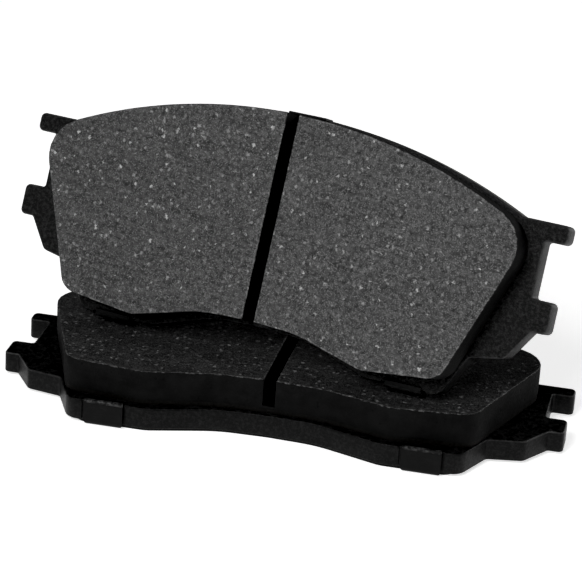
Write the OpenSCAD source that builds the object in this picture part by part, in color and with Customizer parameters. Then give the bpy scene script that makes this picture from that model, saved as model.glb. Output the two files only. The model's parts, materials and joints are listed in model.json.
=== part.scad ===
// A matched pair of disc brake pads, in millimetres.
// The lower pad lies on its shim, friction face up. The upper pad is identical. It stands on its
// concave edge on the lower pad's friction face, turned a little and leaning back.
// Origin: centre of the lower pad's back, level with the middle of its ear notches.
// +X runs along the pad, +Y towards its convex edge, +Z from the shim to the friction face.

/* [Ears] */
// Overall length over the ears
ear_span = 140; // [136:1:146]
// Height of the notch that straddles the caliper abutment
notch_height = 13.7; // [12.5:0.1:14.5]
// Depth of the notch, from the ear tips to its inner wall
notch_depth = 5.3; // [4.5:0.1:5.6]
// Height of the narrow tab above the notch
upper_tab_height = 4.5; // [3.5:0.1:5.5]
// Height of the wide tab below the notch
lower_tab_height = 7.6; // [6.5:0.1:8]
// Step from the wide tab's tip back to the shoulder below it
ledge_depth = 3.6; // [2.5:0.1:4.5]

/* [Backing plate] */
// Thickness of the steel plate
plate_thickness = 5.25; // [4.5:0.25:6.5]
// Radius of the plate's convex edge
plate_top_radius = 140; // [135:1:150]
// Top of the convex edge above the middle of the notches
plate_top_y = 24; // [23.5:0.5:25.5]
// Distance of the two feet below the middle of the notches
plate_foot_drop = 34.2; // [34:0.1:35.5]
// Distance of the middle of the concave edge below the middle of the notches
plate_arch_drop = 28.4; // [28:0.1:29.4]
// Diameter of the holes that key the underlayer to the plate
key_hole_diameter = 9; // [6:0.5:10]

/* [Friction material] */
// Thickness of the friction lining
lining_thickness = 7.5; // [5:0.25:9]
// Thickness of the underlayer that bonds the lining to the plate
underlayer_thickness = 1.25; // [1:0.25:2]
// Width of the central slot
slot_width = 3; // [2:0.1:4]
// Lining left below the slot
slot_floor = 0.6; // [0.5:0.1:2]
// Radius of the lining's convex edge
lining_top_radius = 132; // [128:1:134]
// Top of the lining's convex edge above the middle of the notches
lining_top_y = 23.5; // [23:0.1:23.5]
// Angle between the lining's end walls and the Y axis
end_taper = 20.6; // [19:0.1:21]
// Radius of the lining's upper corners
lining_top_corner = 9; // [6:0.5:10]
// Radius of the lining's lower corners
lining_bottom_corner = 5; // [3:0.5:6]

/* [Shim] */
// Thickness of the steel core
core_thickness = 0.6; // [0.4:0.1:0.7]
// Thickness of the rubber on each side of the core
rubber_thickness = 0.1; // [0.1:0.02:0.2]
// Thickness of the adhesive film
adhesive_thickness = 0.1; // [0.06:0.02:0.2]
// Width of the two tabs on the concave edge
foot_tab_width = 9.6; // [8:0.2:12]
// Distance of those tabs' middles from the centre line
foot_tab_x = 38.7; // [36:0.1:41]
// Width of the tab on the convex edge
top_tab_width = 9.8; // [8:0.2:14]
// How far the foot tabs stand proud of the plate's edge
foot_tab_proud = 0.7; // [0.5:0.1:0.9]
// How far the top tab stands proud of the plate's edge
top_tab_proud = 0.3; // [0.3:0.1:0.9]
// How far the foot tabs hook over the plate's front face
lip_length = 1.2; // [0.6:0.1:1.4]

/* [Upper pad] */
// Angle that the upper pad is raised by, from lying flat
upper_raise = 66.7; // [62:0.1:72]
// Turn of the upper pad about the vertical
upper_turn = -12.6; // [-16:0.1:-8]
// Place of the upper pad along the lower one
upper_x = -1.8; // [-6:0.1:4]
// Place of the upper pad across the lower one
upper_y = 0.7; // [-2:0.1:6]
// Gap that keeps the upper pad's tabs just off the lower lining
rest_gap = 0.1; // [0.05:0.05:0.3]

/* [Hidden] */
$fn = 64;

// Heights of the layers above the shim's outer face
core_z = rubber_thickness;
inner_rubber_z = core_z + core_thickness;
adhesive_z = inner_rubber_z + rubber_thickness;
plate_z = adhesive_z + adhesive_thickness;
underlayer_z = plate_z + plate_thickness;
lining_z = underlayer_z + underlayer_thickness;
face_z = lining_z + lining_thickness;

// The ear's outline, on the right half
tip_x = ear_span / 2;
notch_x = tip_x - notch_depth;
ledge_x = tip_x - ledge_depth;
upper_tab_top = notch_height / 2 + upper_tab_height;
lower_tab_bottom = -notch_height / 2 - lower_tab_height;
shoulder = [61.4, -22];
armpit = [52.8, -23.7];
foot_x = 47.8;
foot_y = -plate_foot_drop;
arch_y = -plate_arch_drop;
arch_half = 12;
foot_inner_x = 28.5;

// The lining's and the shim's outlines, on the right half
lining_foot = [49.6, -29.9];
lining_foot_inner = [30.2, -32.1];
lining_arch = [12.5, -27.4];
lining_arch_y = -26.9;
shim_foot = [47.4, -28];
shim_foot_drop = 33.2;
shim_arch_inset = 1;
shim_top_radius = 136;
shim_top_y = 23.2;

shim_foot_inset = 2;

// How far the concave edge has dropped by the end of its arch
arch_fall = 0.5;

// Fillets that blend the concave edge, and the small radii of a stamped plate
arch_blend = 40;
wave_blend = 30;
foot_blend = 8;
foot_corner = 4;
shoulder_corner = 2;
armpit_corner = 1.5;
stamped_radius = 0.8;
ear_tip_radius = 1.3;
shim_foot_corner = 3;
shim_side_corner = 1;
fillet_steps = 6;
arc_steps = 24;

// The upper holes lie inside the shim's outline, clear of the notches
key_holes = [[-42, -6], [-16, 0], [16, 0], [42, -6]];
key_clearance = 0.05;

// The tabs sit in shallow recesses in the plate's edge, a little wider than they are
recess_depth = 0.4;
recess_side_gap = 0.7;
bend_radius = 1.1;
lip_clearance = 0.05;
tab_root = 3;
tab_corner = 1.2;
tab_side_corner = 0.4;
lip_edge = 0.2;
lip_inner_edge = 0.1;

// How far the cutting shapes run past what they cut
cut_over = 1;
cut_reach = 10;
slot_reach = 50;

function unit(v) = v / norm(v);
function xy(corner) = [corner[0], corner[1]];

// Points of the fillet of radius r at corner b, between its neighbours a and c
function fillet(a, b, c, r) =
    r == 0 ? [b] :
    let (to_a = unit(a - b),
         to_c = unit(c - b),
         half = acos(to_a * to_c) / 2,
         centre = b + unit(to_a + to_c) * r / sin(half),
         first = b + to_a * r / tan(half) - centre,
         last = b + to_c * r / tan(half) - centre,
         start = atan2(first[1], first[0]),
         turn = atan2(last[1], last[0]) - start,
         sweep = turn > 180 ? turn - 360 : turn < -180 ? turn + 360 : turn)
    [for (i = [0:fillet_steps])
        centre + r * [cos(start + sweep * i / fillet_steps), sin(start + sweep * i / fillet_steps)]];

// A closed outline from corners given as [x, y, fillet radius]
function rounded(corners) =
    let (n = len(corners))
    [for (i = [0:n - 1])
        each fillet(xy(corners[(i + n - 1) % n]), xy(corners[i]), xy(corners[(i + 1) % n]),
                    corners[i][2])];

// The right half's corners, from the bottom middle to the top middle, and their mirror images
function both_halves(half) =
    concat(half, [for (i = [len(half) - 1:-1:0]) if (half[i][0] > 0)
        [-half[i][0], half[i][1], half[i][2]]]);

// Corners along a convex top edge, from the angle given to the centre line
function top_arc(radius, top_y, angle) =
    [for (i = [0:arc_steps])
        let (a = angle * (1 - i / arc_steps))
        [radius * sin(a), top_y - radius + radius * cos(a), 0]];

// Where an end wall that rises from foot at end_taper meets a convex top edge
function end_corner(foot, radius, top_y) =
    let (up = [sin(end_taper), cos(end_taper)],
         from_centre = foot - [0, top_y - radius],
         along = from_centre * up,
         reach = sqrt(along * along - from_centre * from_centre + radius * radius) - along)
    foot + up * reach;

// A tapered end and the convex edge above it, with an upper corner of the radius given
function tapered_top(foot, radius, top_y, corner) =
    let (meet = end_corner(foot, radius, top_y),
         fillet_turn = corner / radius * 180 / PI)
    concat([[meet[0], meet[1], corner]],
           top_arc(radius, top_y, asin(meet[0] / radius) - fillet_turn));

plate_join_x = sqrt(pow(plate_top_radius, 2) - pow(upper_tab_top - plate_top_y + plate_top_radius, 2));

plate_outline = rounded(both_halves(concat(
    [[0, arch_y, arch_blend],
     [arch_half, arch_y - arch_fall, wave_blend],
     [foot_inner_x, foot_y, foot_blend],
     [foot_x, foot_y, foot_corner],
     [armpit[0], armpit[1], armpit_corner],
     [shoulder[0], shoulder[1], shoulder_corner],
     [ledge_x, lower_tab_bottom, stamped_radius],
     [tip_x, lower_tab_bottom, ear_tip_radius],
     [tip_x, -notch_height / 2, ear_tip_radius],
     [notch_x, -notch_height / 2, stamped_radius],
     [notch_x, notch_height / 2, stamped_radius],
     [tip_x, notch_height / 2, ear_tip_radius],
     [tip_x, upper_tab_top, ear_tip_radius]],
    top_arc(plate_top_radius, plate_top_y, asin(plate_join_x / plate_top_radius)))));

lining_outline = rounded(both_halves(concat(
    [[0, lining_arch_y, arch_blend],
     [lining_arch[0], lining_arch[1], wave_blend],
     [lining_foot_inner[0], lining_foot_inner[1], foot_blend],
     [lining_foot[0], lining_foot[1], lining_bottom_corner]],
    tapered_top(lining_foot, lining_top_radius, lining_top_y, lining_top_corner))));

shim_outline = rounded(both_halves(concat(
    [[0, arch_y + shim_arch_inset, arch_blend],
     [arch_half, arch_y + shim_arch_inset - arch_fall, wave_blend],
     [foot_inner_x, -shim_foot_drop, foot_blend],
     [shim_foot[0] - shim_foot_inset, -shim_foot_drop, shim_foot_corner],
     [shim_foot[0], shim_foot[1], shim_side_corner]],
    tapered_top(shim_foot, shim_top_radius, shim_top_y, lining_top_corner))));

module layer(outline, z, thickness) {
    translate([0, 0, z])
        linear_extrude(thickness)
            polygon(outline);
}

// Places children at both foot tabs, with +Y pointing outwards from the concave edge
module at_foot_tabs() {
    for (side = [-1, 1])
        translate([side * foot_tab_x, foot_y, 0])
            rotate([0, 0, 180])
                children();
}

// Places children at the top tab, with +Y pointing outwards from the convex edge
module at_top_tab() {
    translate([0, plate_top_y, 0])
        children();
}

module edge_recess(tab_width) {
    width = tab_width + 2 * recess_side_gap;
    translate([-width / 2, -recess_depth, plate_z - cut_over])
        cube([width, cut_reach, plate_thickness + 2 * cut_over]);
}

// A tab's section: outwards from the plate's edge, and up
function tab_section(outer, top_z, lip) =
    let (inner = outer - core_thickness,
         bottom = core_z,
         inner_bend = bend_radius - core_thickness)
    lip > 0
        ? rounded([[-tab_root, bottom, 0], [outer, bottom, bend_radius],
                   [outer, top_z, bend_radius], [-lip, top_z, lip_edge],
                   [-lip, top_z - core_thickness, lip_inner_edge],
                   [inner, top_z - core_thickness, inner_bend],
                   [inner, bottom + core_thickness, inner_bend],
                   [-tab_root, bottom + core_thickness, 0]])
        : rounded([[-tab_root, bottom, 0], [outer, bottom, bend_radius],
                   [outer, top_z, lip_edge], [inner, top_z, lip_edge],
                   [inner, bottom + core_thickness, inner_bend],
                   [-tab_root, bottom + core_thickness, 0]]);

// A folded tab, with its lower corners rounded off where it leaves the core
module folded_tab(width, proud, top_z, lip) {
    face = rounded([[-width / 2, core_z, tab_corner], [width / 2, core_z, tab_corner],
                    [width / 2, top_z, tab_side_corner], [-width / 2, top_z, tab_side_corner]]);
    intersection() {
        translate([-width / 2, 0, 0])
            rotate([90, 0, 90])
                linear_extrude(width)
                    polygon(tab_section(proud, top_z, lip));
        translate([0, cut_reach, 0])
            rotate([90, 0, 0])
                linear_extrude(2 * cut_reach)
                    polygon(face);
    }
}

module backing_plate() {
    color([0.07, 0.07, 0.075])
        difference() {
            layer(plate_outline, plate_z, plate_thickness);
            at_foot_tabs() edge_recess(foot_tab_width);
            at_top_tab() edge_recess(top_tab_width);
            for (place = key_holes)
                translate([place[0], place[1], plate_z - cut_over])
                    cylinder(h = plate_thickness + 2 * cut_over, d = key_hole_diameter);
        }
}

module underlayer() {
    color([0.12, 0.12, 0.12])
        union() {
            layer(lining_outline, underlayer_z, underlayer_thickness);
            for (place = key_holes)
                translate([place[0], place[1], plate_z])
                    cylinder(h = plate_thickness + underlayer_thickness / 2,
                             d = key_hole_diameter - 2 * key_clearance);
        }
}

module friction_lining() {
    color([0.25, 0.25, 0.26])
        difference() {
            layer(lining_outline, lining_z, lining_thickness);
            translate([-slot_width / 2, -slot_reach, lining_z + slot_floor])
                cube([slot_width, 2 * slot_reach, lining_thickness]);
        }
}

module shim_adhesive() {
    color([0.3, 0.3, 0.28])
        layer(shim_outline, adhesive_z, adhesive_thickness);
}

module shim_inner_rubber() {
    color([0.05, 0.05, 0.05])
        layer(shim_outline, inner_rubber_z, rubber_thickness);
}

module shim_core() {
    lip_top = underlayer_z + lip_clearance + core_thickness;
    color([0.1, 0.1, 0.11])
        union() {
            layer(shim_outline, core_z, core_thickness);
            at_foot_tabs() folded_tab(foot_tab_width, foot_tab_proud, lip_top, lip_length);
            at_top_tab() folded_tab(top_tab_width, top_tab_proud, underlayer_z, 0);
        }
}

module shim_outer_rubber() {
    color([0.06, 0.06, 0.06])
        layer(shim_outline, 0, rubber_thickness);
}

// The upper pad's tabs touch first, on the round of their lower bends
bend_y = foot_y - foot_tab_proud + bend_radius;
bend_z = core_z + bend_radius;
lowest_reach = sin(upper_raise) * bend_y + cos(upper_raise) * bend_z - bend_radius;
upper_z = face_z + rest_gap - lowest_reach;

module upper_pose() {
    translate([upper_x, upper_y, upper_z])
        rotate([0, 0, upper_turn])
            rotate([upper_raise, 0, 0])
                children();
}

backing_plate();  // lower_backing_plate
underlayer();  // lower_underlayer
friction_lining();  // lower_friction_lining
shim_adhesive();  // lower_shim_adhesive
shim_inner_rubber();  // lower_shim_inner_rubber
shim_core();  // lower_shim_core
shim_outer_rubber();  // lower_shim_outer_rubber
upper_pose() backing_plate();  // upper_backing_plate
upper_pose() underlayer();  // upper_underlayer
upper_pose() friction_lining();  // upper_friction_lining
upper_pose() shim_adhesive();  // upper_shim_adhesive
upper_pose() shim_inner_rubber();  // upper_shim_inner_rubber
upper_pose() shim_core();  // upper_shim_core
upper_pose() shim_outer_rubber();  // upper_shim_outer_rubber
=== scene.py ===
"""Looks for a stacked pair of disc brake pads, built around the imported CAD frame.

Each pad's lining, plate and underlayer are made in the pad's own frame, from outlines read off
the lower pad's CAD nodes, and then placed by the pad's pose. The four layers of its shim stay CAD
nodes with new materials. The pad's own frame has its origin on the shim's outer face, +X along
the pad, +Y towards the convex edge and +Z towards the friction face.
"""

import json
import math

import bmesh
import bpy
from mathutils import Matrix, Vector, noise


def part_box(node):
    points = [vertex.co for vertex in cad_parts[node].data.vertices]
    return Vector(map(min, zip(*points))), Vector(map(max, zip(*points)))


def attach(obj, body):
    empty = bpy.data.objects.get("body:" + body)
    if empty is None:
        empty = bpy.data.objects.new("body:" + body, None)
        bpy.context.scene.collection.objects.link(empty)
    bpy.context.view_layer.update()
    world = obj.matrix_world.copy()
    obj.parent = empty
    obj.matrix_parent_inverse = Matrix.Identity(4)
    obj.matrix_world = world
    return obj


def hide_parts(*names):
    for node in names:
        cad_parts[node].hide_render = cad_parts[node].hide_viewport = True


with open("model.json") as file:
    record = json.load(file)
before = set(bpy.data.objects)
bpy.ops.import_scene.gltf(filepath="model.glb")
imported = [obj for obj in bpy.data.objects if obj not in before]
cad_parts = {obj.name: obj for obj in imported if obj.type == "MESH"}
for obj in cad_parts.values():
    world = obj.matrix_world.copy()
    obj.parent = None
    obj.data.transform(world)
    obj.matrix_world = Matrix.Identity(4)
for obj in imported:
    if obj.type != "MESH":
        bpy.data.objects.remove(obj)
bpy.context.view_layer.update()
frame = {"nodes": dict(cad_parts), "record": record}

MM = 0.001
WELD = 1e-6
SAME_HEIGHT = 10 * WELD
# The least upward part of a flat face's normal
FACES_UP = 0.999
# Keeps a side that is a whole number of steps long from getting one more
STEP_SLACK = 1e-6
# The longest miter, as a multiple of the inset
MITER_LIMIT = 2
SMOOTH_ANGLE = 35
# Each pad's texture seed, and the strength from 0 to 1 of the painted highlight on its tabs'
# folds, faint on the upper pad, whose tabs lie in shade
PADS = {"lower": (17.0, 0.5), "upper": (48.0, 0.08)}
MOUNTS = {mount["name"]: mount for mount in frame["record"]["mounts"]}


# ---------------------------------------------------------------- outlines read off the frame

def level(node, top):
    """The height of a lower-pad node's highest or lowest point."""
    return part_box("lower_" + node)[1 if top else 0].z


def cap_loops(node, height):
    """Outlines of a lower-pad node's flat, upward faces at that height, each a list of 2D points.

    An outer outline runs anticlockwise and a hole clockwise.
    """
    bm = bmesh.new()
    bm.from_mesh(frame["nodes"]["lower_" + node].data)
    bmesh.ops.remove_doubles(bm, verts=bm.verts, dist=WELD)
    bm.normal_update()
    caps = [face for face in bm.faces if face.normal.z > FACES_UP
            and abs(face.calc_center_median().z - height) < SAME_HEIGHT]
    following = {}
    for face in caps:
        for corner in face.loops:
            if sum(other in caps for other in corner.edge.link_faces) == 1:
                following[corner.vert] = corner.link_loop_next.vert
    loops = []
    while following:
        vert = next(iter(following))
        loop = []
        while vert in following:
            loop.append(vert.co.xy.copy())
            vert = following.pop(vert)
        loops.append(loop)
    bm.free()
    return loops


def area(loop):
    """Signed area of a 2D outline: positive when it runs anticlockwise."""
    return sum(a.cross(b) for a, b in zip(loop, loop[1:] + loop[:1])) / 2


def outer_and_holes(loops):
    """The outline with the largest area, and the others."""
    ordered = sorted(loops, key=area, reverse=True)
    return ordered[0], ordered[1:]


def resampled(loop, spacing):
    """The outline with its long sides divided into steps no longer than spacing."""
    points = []
    for a, b in zip(loop, loop[1:] + loop[:1]):
        steps = max(1, math.ceil((b - a).length / spacing - STEP_SLACK))
        points += [a.lerp(b, i / steps) for i in range(steps)]
    return points


def joined_outline(loops):
    """The outline around several that share sides: the shared sides cancel."""
    def key(point):
        return round(point.x / WELD), round(point.y / WELD)
    sides = {(key(a), key(b)): a for loop in loops for a, b in zip(loop, loop[1:] + loop[:1])}
    kept = {start: (end, point) for (start, end), point in sides.items()
            if (end, start) not in sides}
    here = first = next(iter(kept))
    outline = []
    while not outline or here != first:
        here, point = kept[here]
        outline.append(point)
    return outline


def inward(loop):
    """At each point of an outline, the miter vector that moves it one unit into the material."""
    vectors = []
    for before, here, after in zip(loop[-1:] + loop[:-1], loop, loop[1:] + loop[:1]):
        a, b = (here - before).normalized(), (after - here).normalized()
        normal_a, normal_b = Vector((-a.y, a.x)), Vector((-b.y, b.x))
        middle = (normal_a + normal_b).normalized()
        vectors.append(middle / max(middle.dot(normal_a), 1 / MITER_LIMIT))
    return vectors


# ---------------------------------------------------------------- mesh building

RIM = "rim"
RIM_STEPS = 4


def flat_noise(point, feature, seed):
    """Smooth noise from -1 to 1 that varies over about feature metres."""
    return noise.noise(Vector((point.x / feature, point.y / feature, seed)))


def walls(bm, loop, rings, rim_rings=()):
    """Walls through rings given as (inset, height) of a point's index, each a row of vertices.

    Vertices of the rings numbered in rim_rings are marked as lying on a rim.
    """
    rim = bm.verts.layers.float.get(RIM) or bm.verts.layers.float.new(RIM)
    into = inward(loop)
    rows = []
    for number, (inset, height) in enumerate(rings):
        row = []
        for i, (point, vector) in enumerate(zip(loop, into)):
            vert = bm.verts.new((point + vector * inset(i)).to_3d() + Vector((0, 0, height(i))))
            vert[rim] = number in rim_rings
            row.append(vert)
        rows.append(row)
    for lower, upper in zip(rows, rows[1:]):
        for i in range(len(loop)):
            j = (i + 1) % len(loop)
            bm.faces.new((lower[i], lower[j], upper[j], upper[i]))
    return rows


def fixed(value):
    """A ring's inset or height that is the same all round."""
    return lambda index: value


def rounded_rim(height, radius, inner, up=True):
    """Rings that round an edge of the radius given for each point's index, then a flat ring."""
    sign = 1 if up else -1
    rings = []
    for step in range(RIM_STEPS + 1):
        angle = math.pi / 2 * step / RIM_STEPS
        rings.append((lambda i, a=angle: radius(i) * (1 - math.cos(a)),
                      lambda i, a=angle: height - sign * radius(i) * (1 - math.sin(a))))
    rings.append((lambda i: radius(i) + inner, fixed(height)))
    return rings if up else rings[::-1]


def cap(bm, rows):
    """Fills the flat region bounded by rows of vertices, the first outer and the others holes."""
    edges = []
    for row in rows:
        for a, b in zip(row, row[1:] + row[:1]):
            edges.append(bm.edges.get((a, b)) or bm.edges.new((a, b)))
    bmesh.ops.triangle_fill(bm, use_beauty=True, use_dissolve=False, edges=edges)


def finished_mesh(bm, name):
    """The mesh welded, with its normals outwards and its gentle edges smooth."""
    bmesh.ops.remove_doubles(bm, verts=bm.verts, dist=WELD)
    bmesh.ops.recalc_face_normals(bm, faces=bm.faces)
    for face in bm.faces:
        face.smooth = True
    mesh = bpy.data.meshes.new(name)
    bm.to_mesh(mesh)
    bm.free()
    mesh.set_sharp_from_angle(angle=math.radians(SMOOTH_ANGLE))
    return mesh


# ---------------------------------------------------------------- pieces of one pad

LINING_SPACING = 0.7 * MM
LINING_RIM = 0.28 * MM
# The least upward part of a normal on the friction face, whose chipped rims slope
LINING_FACE_SLOPE = 0.6
# Noise above the level chips the rim, by that many rims for each unit above it
CHIP_LEVEL = 0.5
CHIP_GROWTH = 3.2
PLATE_SPACING = 1.2 * MM
PLATE_FRONT_RIM = 0.42 * MM
PLATE_BACK_RIM = 0.25 * MM
UNDERLAYER_INSET = 0.12 * MM
UNDERLAYER_RAGGED = 0.8
PLUG_GAP = 0.05 * MM


def chipped_rim(points, seed):
    """The rim radius at each point of a lining's face: worn unevenly, with a few small chips."""
    def radius(i):
        long_wear = 0.45 * flat_noise(points[i], 5 * MM, seed)
        short_wear = 0.35 * flat_noise(points[i], 1.3 * MM, seed + 5)
        chip = max(0.0, flat_noise(points[i], 2.1 * MM, seed + 11) - CHIP_LEVEL) * CHIP_GROWTH
        return LINING_RIM * (1 + long_wear + short_wear + chip)
    return radius


def lining_mesh(seed):
    """The friction lining: one block with a slot down to a thin floor, its face's rims worn."""
    bottom, face = level("friction_lining", False), level("friction_lining", True)
    halves = cap_loops("friction_lining", face)
    floor_height = slot_floor_height()
    floor = cap_loops("friction_lining", floor_height)
    base = resampled(joined_outline(halves + floor), LINING_SPACING)
    bm = bmesh.new()
    base_rows = walls(bm, base, [(fixed(0), fixed(bottom)), (fixed(0), fixed(floor_height))])
    cap(bm, [base_rows[0]])
    for loop in floor:
        points = resampled(loop, LINING_SPACING)
        cap(bm, [walls(bm, points, [(fixed(0), fixed(floor_height))])[0]])
    middle = (floor_height + face) / 2
    straight = [(fixed(0), fixed(floor_height)), (fixed(0), fixed(middle))]
    first_rim = len(straight) + 1
    for loop in halves:
        points = resampled(loop, LINING_SPACING)
        rings = straight + rounded_rim(face, chipped_rim(points, seed), LINING_RIM)
        rows = walls(bm, points, rings, range(first_rim, first_rim + RIM_STEPS))
        cap(bm, [rows[-1]])
    mesh = finished_mesh(bm, "lining")
    for polygon in mesh.polygons:
        on_face = polygon.center.z > face - LINING_RIM / 2 \
            and abs(polygon.normal.z) > LINING_FACE_SLOPE
        polygon.material_index = 0 if on_face else 1
    return mesh


def slot_floor_height():
    """The height of the slot's floor: the lining's upward faces below its friction face."""
    node = frame["nodes"]["lower_friction_lining"]
    face = level("friction_lining", True)
    return max(p.center.z for p in node.data.polygons
               if p.normal.z > FACES_UP and p.center.z < face - MM)


def plate_mesh():
    """The backing plate: stamped, with a rounder front rim, and its key holes.

    The rings inside each rounding are marked as rims, not the two where it meets flat steel.
    """
    bottom, top = level("backing_plate", False), level("backing_plate", True)
    outer, holes = outer_and_holes(cap_loops("backing_plate", top))
    back = rounded_rim(bottom, fixed(PLATE_BACK_RIM), PLATE_BACK_RIM, up=False)
    front = rounded_rim(top, fixed(PLATE_FRONT_RIM), PLATE_FRONT_RIM)
    back_rim = range(2, len(back) - 1)
    front_rim = range(len(back) + 1, len(back) + RIM_STEPS)
    bm = bmesh.new()
    lower_caps, upper_caps = [], []
    for loop in [outer] + holes:
        points = resampled(loop, PLATE_SPACING)
        rows = walls(bm, points, back + front, [*back_rim, *front_rim])
        lower_caps.append(rows[0])
        upper_caps.append(rows[-1])
    cap(bm, lower_caps)
    cap(bm, upper_caps)
    return finished_mesh(bm, "plate")


def underlayer_mesh(seed):
    """The underlayer: set in a little from the lining's walls, with a plug in each key hole."""
    bottom, top = level("backing_plate", True), level("underlayer", True)
    plug_bottom = level("underlayer", False)
    outline = resampled(outer_and_holes(cap_loops("underlayer", top))[0], LINING_SPACING)
    bm = bmesh.new()

    def ragged(i):
        wave = flat_noise(outline[i], 2 * MM, seed)
        return UNDERLAYER_INSET * (1 + UNDERLAYER_RAGGED * wave)
    rows = walls(bm, outline, [(ragged, fixed(bottom)), (ragged, fixed(top))])
    cap(bm, [rows[1]])
    gap = fixed(PLUG_GAP)
    plug_rows = []
    for hole in outer_and_holes(cap_loops("backing_plate", bottom))[1]:
        plug = list(reversed(resampled(hole, PLATE_SPACING)))
        ends = walls(bm, plug, [(gap, fixed(plug_bottom)), (gap, fixed(bottom))])
        cap(bm, [ends[0]])
        plug_rows.append(ends[1])
    cap(bm, [rows[0]] + plug_rows)
    return finished_mesh(bm, "underlayer")


# ---------------------------------------------------------------- shader graphs

class Graph:
    """Adds nodes to one material. Its positions are in millimetres, in the frame of a pose."""

    def __init__(self, name, pose=Matrix(), seed=0.0):
        self.material = bpy.data.materials.new(name)
        self.material.use_nodes = True
        self.tree = self.material.node_tree
        self.tree.nodes.clear()
        self.pose = pose
        self.where = self.add("ShaderNodeTexCoord").outputs
        frame_of_pose = self.add("ShaderNodeMapping",
                                 {"Vector": self.where["Object"], "Location": pose.translation,
                                  "Rotation": pose.to_euler(), "Scale": (MM, MM, MM)},
                                 vector_type="TEXTURE")
        self.local = frame_of_pose.outputs[0]
        self.place = self.vector("ADD", self.local, (seed, 2 * seed, 3 * seed))

    def add(self, kind, inputs=(), **settings):
        node = self.tree.nodes.new(kind)
        for key, value in settings.items():
            setattr(node, key, value)
        for key, value in dict(inputs).items():
            self.put(node.inputs[key], value)
        return node

    def put(self, socket, value):
        if isinstance(value, bpy.types.NodeSocket):
            self.tree.links.new(value, socket)
        else:
            socket.default_value = value

    def vector(self, operation, a, b):
        return self.add("ShaderNodeVectorMath", {0: a, 1: b}, operation=operation).outputs[0]

    def math(self, operation, a, b):
        return self.add("ShaderNodeMath", {0: a, 1: b}, operation=operation).outputs[0]

    def stretched(self, scale, turn=0.0):
        """The position turned about Z by turn degrees, then scaled."""
        turned = self.add("ShaderNodeMapping", {"Vector": self.place,
                                                "Rotation": (0, 0, math.radians(turn))})
        return self.vector("MULTIPLY", turned.outputs[0], scale)

    def along(self, axis):
        """The position along the pad's X, Y or Z axis: 0, 1 or 2."""
        return self.add("ShaderNodeSeparateXYZ", {"Vector": self.local}).outputs[axis]

    def facing(self, towards):
        """The cosine between the surface's normal and a direction given in the pad's frame."""
        axis = self.pose.to_3x3() @ Vector(towards).normalized()
        return self.add("ShaderNodeVectorMath", {0: self.where["Normal"], 1: axis},
                        operation="DOT_PRODUCT").outputs["Value"]

    def rim(self):
        """1 on a piece's rims, fading to 0 beside them."""
        return self.add("ShaderNodeAttribute", attribute_name=RIM).outputs["Fac"]

    def noise(self, feature, detail=3.0, roughness=0.55, place=None):
        """Noise with features of about that many millimetres."""
        node = self.add("ShaderNodeTexNoise",
                        {"Vector": place or self.place, "Scale": 1 / feature, "Detail": detail,
                         "Roughness": roughness})
        return node.outputs["Fac"]

    def warped(self, scale, reach):
        """The position moved by up to reach millimetres an axis, by noise of that scale."""
        warp = self.add("ShaderNodeTexNoise",
                        {"Vector": self.place, "Scale": scale, "Detail": 2.0}).outputs["Color"]
        return self.vector("ADD", self.place, self.vector("MULTIPLY", warp, (reach,) * 3))

    def cells(self, feature, place=None, output="Distance"):
        """Points scattered that many millimetres apart: the nearest's distance or its colour."""
        node = self.add("ShaderNodeTexVoronoi",
                        {"Vector": place or self.place, "Scale": 1 / feature})
        return node.outputs[output]

    def range(self, value, low, high, to_low=0.0, to_high=1.0):
        node = self.add("ShaderNodeMapRange",
                        {"Value": value, "From Min": low, "From Max": high,
                         "To Min": to_low, "To Max": to_high}, clamp=True)
        return node.outputs[0]

    def mix(self, factor, a, b, blend="MIX"):
        node = self.add("ShaderNodeMix", data_type="RGBA", blend_type=blend)
        colours = [s for s in node.inputs if s.type == "RGBA"]
        self.put(node.inputs[0], factor)
        self.put(colours[0], a)
        self.put(colours[1], b)
        return next(s for s in node.outputs if s.type == "RGBA")

    def varied(self, colour, factor, darkest, brightest):
        """The colour times darkest to brightest, as the factor runs from 0 to 1."""
        dark = self.mix(1.0, colour, grey(darkest), "MULTIPLY")
        bright = self.mix(1.0, colour, grey(brightest), "MULTIPLY")
        return self.mix(factor, dark, bright)

    def over(self, colour, mask, share, value):
        """The colour under a grey that covers share of it where the mask is 1."""
        return self.mix(self.math("MULTIPLY", mask, share), colour, grey(value))

    def bump(self, height, depth, normal=None):
        """A bump whose height of 0 to 1 stands for that many millimetres."""
        inputs = {"Height": height, "Distance": depth * MM, "Strength": 1.0}
        if normal:
            inputs["Normal"] = normal
        return self.add("ShaderNodeBump", inputs).outputs[0]

    def finish(self, colour, roughness, normal, specular, **settings):
        shader = self.add("ShaderNodeBsdfPrincipled",
                          {"Base Color": colour, "Roughness": roughness, "Normal": normal,
                           "Specular IOR Level": specular, **settings})
        output = self.add("ShaderNodeOutputMaterial")
        self.tree.links.new(shader.outputs[0], output.inputs["Surface"])
        return self.material


def grey(value, warmth=0.0):
    """An opaque grey in linear light, slightly warm or, below zero, slightly cool."""
    return (value * (1 + warmth), value, value * (1 - warmth), 1)


def specks(graph, spacing, radius, share, place=None, faintest=1.0):
    """Mask of specks scattered through the solid: spacing and radius in mm, and a share of them.

    Their strengths run from faintest to 1.
    """
    near = graph.range(graph.cells(spacing, place), radius / spacing, 0.5 * radius / spacing)
    lot = graph.add("ShaderNodeSeparateColor", {"Color": graph.cells(spacing, place, "Color")})
    chosen = graph.math("LESS_THAN", lot.outputs["Red"], share)
    strength = graph.range(lot.outputs["Green"], 0, 1, faintest, 1)
    return graph.math("MULTIPLY", near, graph.math("MULTIPLY", chosen, strength))


# Between neighbouring fibres, in fibre lengths
FIBRE_SPACING = 3.2


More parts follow.
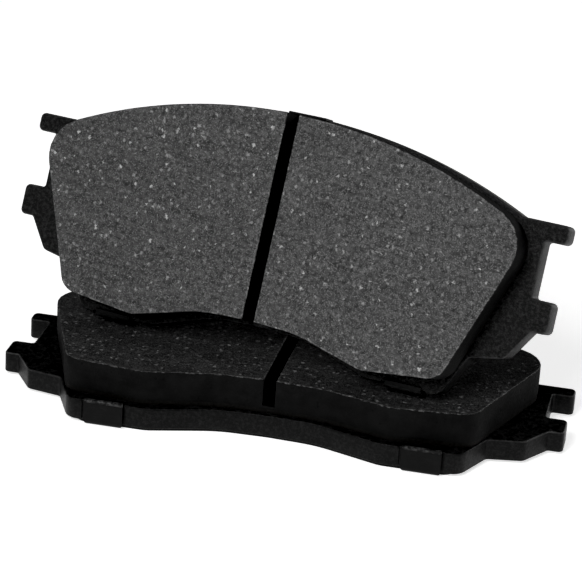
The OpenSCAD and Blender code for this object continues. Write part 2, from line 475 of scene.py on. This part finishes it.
def fibres(graph, length, width, turn, share):
    """Mask of short fibres of that length and width in mm, lying about turn degrees.

    They are specks in a space where a fibre is a ball 1 across.
    """
    place = graph.stretched((1 / length, 1 / width, 1 / width), turn)
    return specks(graph, FIBRE_SPACING, 0.5, share, place)


def painted_rim_highlight(graph):
    """Mask of pale patches along a lining's rims: a painted highlight where the rim catches
    light.
    """
    return graph.math("MULTIPLY", graph.rim(), graph.range(graph.noise(1.1, 3, 0.7), 0.5, 0.66))


def lining_face(name, pose, seed):
    """Ground friction composite: charcoal grain with pale mineral specks and short fibres."""
    g = Graph(name, pose, seed)
    bent = g.warped(1.9, 1.3)
    clouds = g.noise(7.0, 4)
    mottle = g.noise(2.4, 3, 0.6)
    grain = g.noise(0.95, 3, 0.65)
    fine = g.noise(0.34, 1, 0.5)
    grinding = g.noise(0.9, 2, 0.6, g.stretched((0.10, 1.3, 1.0), 6))
    colour = g.mix(g.range(clouds, 0.35, 0.65), grey(0.026), grey(0.036))
    colour = g.varied(colour, g.range(mottle, 0.32, 0.68), 0.60, 1.35)
    colour = g.varied(colour, g.range(grain, 0.36, 0.64), 0.04, 2.2)
    colour = g.mix(g.range(fine, 0.52, 0.68, 0, 0.6), colour, grey(0.24))
    colour = g.mix(g.range(grinding, 0.45, 0.7, 0, 0.3), colour, grey(0.13))
    pits = specks(g, 1.6, 0.58, 0.6, bent, 0.4)
    crumbs = specks(g, 1.6, 0.52, 0.7, bent, 0.2)
    chips = g.math("MAXIMUM", specks(g, 3.1, 0.54, 0.5, bent, 0.2),
                   specks(g, 2.0, 0.40, 0.35, bent, 0.2))
    threads = g.math("MAXIMUM", fibres(g, 1.3, 0.28, 24, 0.03), fibres(g, 1.5, 0.26, -62, 0.03))
    colour = g.over(colour, pits, 0.9, 0.006)
    colour = g.over(colour, crumbs, 0.9, 0.34)
    colour = g.over(colour, threads, 0.8, 0.42)
    colour = g.over(colour, chips, 0.9, 0.60)
    # Pale patches on the rims are a painted highlight
    colour = g.over(colour, painted_rim_highlight(g), 0.8, 0.26)
    bright = g.math("MAXIMUM", chips, crumbs)
    height = g.math("ADD", g.math("MULTIPLY", grain, 0.5), g.math("MULTIPLY", fine, 0.4))
    height = g.math("SUBTRACT", height, g.math("MULTIPLY", pits, 0.6))
    height = g.math("ADD", height, g.math("MULTIPLY", grinding, 0.2))
    roughness = g.range(grain, 0.35, 0.65, 0.66, 0.48)
    roughness = g.range(bright, 0, 1, roughness, 0.42)
    roughness = g.range(pits, 0, 1, roughness, 0.85)
    return g.finish(colour, roughness, g.bump(height, 0.16), specular=0.85)


def lining_side(name, pose, seed):
    """Moulded walls of the lining: nearly black, softly blotched, with a few pale grains."""
    g = Graph(name, pose, seed)
    clouds = g.noise(3.5, 4)
    grain = g.noise(0.6, 3, 0.6)
    pits = specks(g, 2.2, 0.4, 0.5)
    pale = specks(g, 2.8, 0.24, 0.4, faintest=0.2)
    colour = g.mix(g.range(clouds, 0.35, 0.65), grey(0.007), grey(0.013))
    colour = g.mix(g.range(grain, 0.52, 0.78, 0, 0.5), colour, grey(0.020))
    colour = g.over(colour, pits, 0.5, 0.003)
    colour = g.over(colour, pale, 0.5, 0.09)
    # Pale patches on the rims are a painted highlight
    colour = g.over(colour, painted_rim_highlight(g), 0.8, 0.22)
    height = g.math("ADD", g.math("MULTIPLY", grain, 0.4), g.math("MULTIPLY", clouds, 0.5))
    height = g.math("SUBTRACT", height, g.math("MULTIPLY", pits, 0.4))
    return g.finish(colour, g.range(grain, 0.3, 0.7, 0.7, 0.9), g.bump(height, 0.15),
                    specular=0.22)


def powder_coat(name, pose, seed):
    """Black powder coat on stamped steel: satin, with a texture that is strongest in front, whose
    pale blotches and flecks are painted glints.

    Its rims are paler, a painted edge highlight as well as wear, except along the concave edge,
    which lies in shade.
    """
    g = Graph(name, pose, seed)
    peel_and_glints = g.noise(0.9, 4, 0.7)
    grit_and_glints = g.noise(0.40, 2, 0.6)
    dust = g.noise(6.0, 5, 0.65)
    colour = g.mix(g.range(dust, 0.4, 0.7), grey(0.005), grey(0.009))
    front = g.range(g.facing((0, 0, 1)), 0.4, 0.9, 0.4, 1)
    # Painted glints: pale blotches on the peel and pale flecks on the grit, strongest on the
    # front faces; the bumps are the real texture
    colour = g.mix(g.math("MULTIPLY", g.range(peel_and_glints, 0.47, 0.62), front), colour, grey(0.034))
    glint_flecks = g.math("MULTIPLY", g.range(grit_and_glints, 0.54, 0.70, 0, 0.5), front)
    colour = g.mix(glint_flecks, colour, grey(0.06))
    # Paler rims: a painted edge highlight as well as wear, left off the concave edge, which lies
    # in shade
    pale_marks = g.math("MULTIPLY", g.rim(), g.range(g.noise(2.0, 4, 0.65), 0.35, 0.6, 0.25, 1))
    off_concave_edge = g.range(g.along(1), -27, -20)
    pale_marks = g.math("MULTIPLY", pale_marks, off_concave_edge)
    colour = g.over(colour, pale_marks, 0.6, 0.12)
    roughness = g.range(dust, 0.3, 0.75, 0.34, 0.48)
    normal = g.bump(g.math("MULTIPLY", grit_and_glints, front), 0.06,
                    g.bump(g.math("MULTIPLY", peel_and_glints, front), 0.26))
    return g.finish(colour, roughness, normal, specular=0.22)


def bond(name, pose, seed):
    """The underlayer's edge: dense, dark and dull, slightly browner than the lining."""
    g = Graph(name, pose, seed)
    grain = g.noise(0.5, 3, 0.6)
    pits = specks(g, 1.2, 0.35, 0.4)
    colour = g.mix(g.range(grain, 0.35, 0.7), grey(0.008, 0.04), grey(0.017, 0.06))
    colour = g.over(colour, pits, 0.6, 0.003)
    return g.finish(colour, 0.75, g.bump(grain, 0.12), specular=0.25)


def shim_steel(name, pose, seed, fold_highlight_strength):
    """Black coated sheet steel, rubbed brighter in streaks, with a painted highlight on the tabs'
    upper folds.
    """
    g = Graph(name, pose, seed)
    streaks = g.noise(0.9, 3, 0.6, g.stretched((0.35, 1.0, 1.6)))
    scuffs = g.noise(2.2, 5, 0.7)
    pale_marks = g.math("MULTIPLY", g.range(streaks, 0.5, 0.72), g.range(scuffs, 0.45, 0.65))
    # Painted highlight: pale colour on the folds that face up and forward, its strength set per
    # pad
    fold_highlight = g.math("MULTIPLY", g.range(g.facing((0, -1, 1)), 0.86, 0.97),
                  g.range(g.noise(1.2, 4, 0.7), 0.44, 0.58))
    colour = g.mix(g.range(scuffs, 0.3, 0.7), grey(0.006), grey(0.012))
    colour = g.over(colour, pale_marks, 0.3, 0.05)
    colour = g.over(colour, fold_highlight, fold_highlight_strength, 0.20)
    roughness = g.range(scuffs, 0.3, 0.7, 0.42, 0.58)
    return g.finish(colour, roughness, g.bump(streaks, 0.03), specular=0.22)


def shim_rubber(name, pose, seed):
    """Thin nitrile coat on the shim's back: matt, faintly mottled, with fine scratches."""
    g = Graph(name, pose, seed)
    mottle = g.noise(7.0, 5, 0.6)
    grain = g.noise(0.3, 2, 0.5)
    scratches = g.noise(0.5, 2, 0.6, g.stretched((0.05, 1.6, 1.6), 31))
    colour = g.mix(g.range(mottle, 0.35, 0.7), grey(0.030), grey(0.055))
    colour = g.mix(g.range(scratches, 0.60, 0.70, 0, 0.6), colour, grey(0.13))
    roughness = g.range(mottle, 0.3, 0.7, 0.55, 0.72)
    return g.finish(colour, roughness, g.bump(grain, 0.03), specular=0.4)


def adhesive_film(name, pose, seed):
    """Amber-grey adhesive seen only at the shim's edge."""
    g = Graph(name, pose, seed)
    cloud = g.noise(1.5, 3)
    colour = g.mix(cloud, (0.030, 0.027, 0.021, 1), (0.05, 0.045, 0.034, 1))
    return g.finish(colour, 0.6, g.bump(cloud, 0.02), specular=0.4)


def pale_floor(name):
    """A plain matt studio floor with a barely visible mottle and a glow of its own."""
    g = Graph(name)
    cloud = g.noise(60.0, 3)
    colour = g.mix(cloud, grey(0.86), grey(0.88))
    return g.finish(colour, 0.8, g.bump(g.noise(1.5, 2), 0.01), specular=0.1,
                    **{"Emission Color": (1, 1, 1, 1), "Emission Strength": FLOOR_GLOW})


# ---------------------------------------------------------------- placing the pieces

def pad_pose(pad):
    """The matrix from the pad's own frame to the shared one, from its back and right mounts."""
    back, right = MOUNTS[pad + "_back_face"], MOUNTS[pad + "_right_abutment"]
    z = -Vector(back["axis"])
    x = Vector(right["axis"])
    pose = Matrix((x, z.cross(x), z)).transposed().to_4x4()
    pose.translation = Vector(back["pos_m"])
    return pose


def add_piece(name, mesh, materials, pad, node):
    """A visual piece that stands for one of the pad's CAD nodes."""
    mesh.transform(pad_pose(pad))
    piece = bpy.data.objects.new(name, mesh)
    bpy.context.scene.collection.objects.link(piece)
    for material in materials:
        mesh.materials.append(material)
    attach(piece, pad + "_pad")
    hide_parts(pad + "_" + node)


def paint_node(node, material):
    """Gives a CAD node that stays on show its material."""
    mesh = frame["nodes"][node].data
    mesh.materials.clear()
    mesh.materials.append(material)


def build_pad(pad, seed, fold_highlight_strength):
    """Every piece of one pad, with a painted highlight of a strength from 0 to 1 on its tabs'
    folds.
    """
    pose = pad_pose(pad)
    add_piece(pad + "_lining", lining_mesh(seed),
              [lining_face(pad + "_lining_face", pose, seed),
               lining_side(pad + "_lining_side", pose, seed)],
              pad, "friction_lining")
    add_piece(pad + "_plate", plate_mesh(), [powder_coat(pad + "_powder_coat", pose, seed)],
              pad, "backing_plate")
    add_piece(pad + "_bond", underlayer_mesh(seed), [bond(pad + "_bond_layer", pose, seed)],
              pad, "underlayer")
    paint_node(pad + "_shim_core", shim_steel(pad + "_shim_steel", pose, seed, fold_highlight_strength))
    rubber = shim_rubber(pad + "_shim_rubber", pose, seed)
    paint_node(pad + "_shim_inner_rubber", rubber)
    paint_node(pad + "_shim_outer_rubber", rubber)
    paint_node(pad + "_shim_adhesive", adhesive_film(pad + "_adhesive", pose, seed))


# ---------------------------------------------------------------- studio

# Lengths are in metres and angles in degrees. The lens is in millimetres
CAMERA_TARGET = Vector((-0.0005, -0.0046, 0.0289))
CAMERA_DISTANCE = 0.6345
CAMERA_AZIMUTH = 10.7
CAMERA_ELEVATION = 23.4
CAMERA_ROLL = 3.6
CAMERA_LENS = 161
CAMERA_CLIP_START = 0.01
FLOOR_RADIUS = 2.0
FLOOR_SIDES = 96
COVE_HEIGHT = 1.6
COVE_STEPS = 12
FLOOR_GLOW = 0.70
CEILING = 0.03
BLACK_POINT = 0.008
CONTRAST = 0.8
# Name, azimuth, elevation, distance, size and watts
SOFTBOXES = (("front_softbox", -16, 38, 1.4, 0.50, 10.6),
             ("top_softbox", 0, 84, 1.0, 0.40, 0.9),
             ("right_softbox", 68, 14, 0.8, 0.22, 0.6),
             ("back_softbox", 132, 8, 1.4, 0.60, 7.0))


def direction(azimuth, elevation):
    """The unit vector towards an azimuth from -Y, turning to +X, and an elevation, in degrees."""
    a, e = math.radians(azimuth), math.radians(elevation)
    return Vector((math.sin(a) * math.cos(e), -math.cos(a) * math.cos(e), math.sin(e)))


def add_camera():
    """A long lens in front and to the right, looking down on the pads."""
    data = bpy.data.cameras.new("camera")
    data.lens = CAMERA_LENS
    data.clip_start = CAMERA_CLIP_START
    camera = bpy.data.objects.new("camera", data)
    bpy.context.scene.collection.objects.link(camera)
    back = direction(CAMERA_AZIMUTH, CAMERA_ELEVATION)
    turn = (-back).to_track_quat("-Z", "Y").to_matrix().to_4x4()
    roll = Matrix.Rotation(math.radians(CAMERA_ROLL), 4, "Z")
    camera.matrix_world = Matrix.Translation(CAMERA_TARGET + back * CAMERA_DISTANCE) @ turn @ roll
    bpy.context.scene.camera = camera


def add_softbox(name, azimuth, elevation, distance, size, power):
    """A square area light that faces the pads from that direction, in degrees and metres."""
    data = bpy.data.lights.new(name, "AREA")
    data.shape = "SQUARE"
    data.size = size
    data.energy = power
    light = bpy.data.objects.new(name, data)
    bpy.context.scene.collection.objects.link(light)
    back = direction(azimuth, elevation)
    light.location = CAMERA_TARGET + back * distance
    light.rotation_mode = "QUATERNION"
    light.rotation_quaternion = (-back).to_track_quat("-Z", "Y")


def add_stage(name, bm, material):
    """A staged object from a bmesh."""
    bmesh.ops.recalc_face_normals(bm, faces=bm.faces)
    for face in bm.faces:
        face.smooth = True
    mesh = bpy.data.meshes.new(name)
    bm.to_mesh(mesh)
    bm.free()
    mesh.materials.append(material)
    stage = bpy.data.objects.new(name, mesh)
    bpy.context.scene.collection.objects.link(stage)
    return stage


def add_floor(material):
    """The pale floor."""
    bm = bmesh.new()
    bmesh.ops.create_circle(bm, cap_ends=True, segments=FLOOR_SIDES, radius=FLOOR_RADIUS)
    add_stage("studio_floor", bm, material)


def add_backdrop(material):
    """A pale cove that carries the floor up all round. It lights nothing and isn't reflected."""
    bm = bmesh.new()
    bmesh.ops.create_circle(bm, cap_ends=False, segments=FLOOR_SIDES, radius=FLOOR_RADIUS)
    rim = bm.edges[:]
    for step in range(1, COVE_STEPS + 1):
        angle = math.pi / 2 * step / COVE_STEPS
        radius = FLOOR_RADIUS + COVE_HEIGHT * math.sin(angle)
        height = COVE_HEIGHT * (1 - math.cos(angle))
        grown = bmesh.ops.extrude_edge_only(bm, edges=rim)["geom"]
        for vert in (g for g in grown if isinstance(g, bmesh.types.BMVert)):
            vert.co = (vert.co.xy.normalized() * radius).to_3d() + Vector((0, 0, height))
        rim = [g for g in grown if isinstance(g, bmesh.types.BMEdge)]
    backdrop = add_stage("studio_backdrop", bm, material)
    backdrop.visible_glossy = False
    backdrop.visible_diffuse = False


def add_surroundings():
    """A dim grey world, which is also the ceiling above the backdrop."""
    world = bpy.data.worlds.new("studio")
    bpy.context.scene.world = world
    world.use_nodes = True
    background = world.node_tree.nodes["Background"]
    background.inputs["Color"].default_value = grey(CEILING)


add_camera()
for pad_name, (pad_seed, tab_highlight) in PADS.items():
    build_pad(pad_name, pad_seed, tab_highlight)
floor_paint = pale_floor("floor_paint")
add_floor(floor_paint)
add_backdrop(floor_paint)
add_surroundings()
for softbox in SOFTBOXES:
    add_softbox(*softbox)
view = bpy.context.scene.view_settings
view.view_transform = "Standard"
view.gamma = CONTRAST
view.use_curve_mapping = True
view.curve_mapping.black_level = (BLACK_POINT, BLACK_POINT, BLACK_POINT)
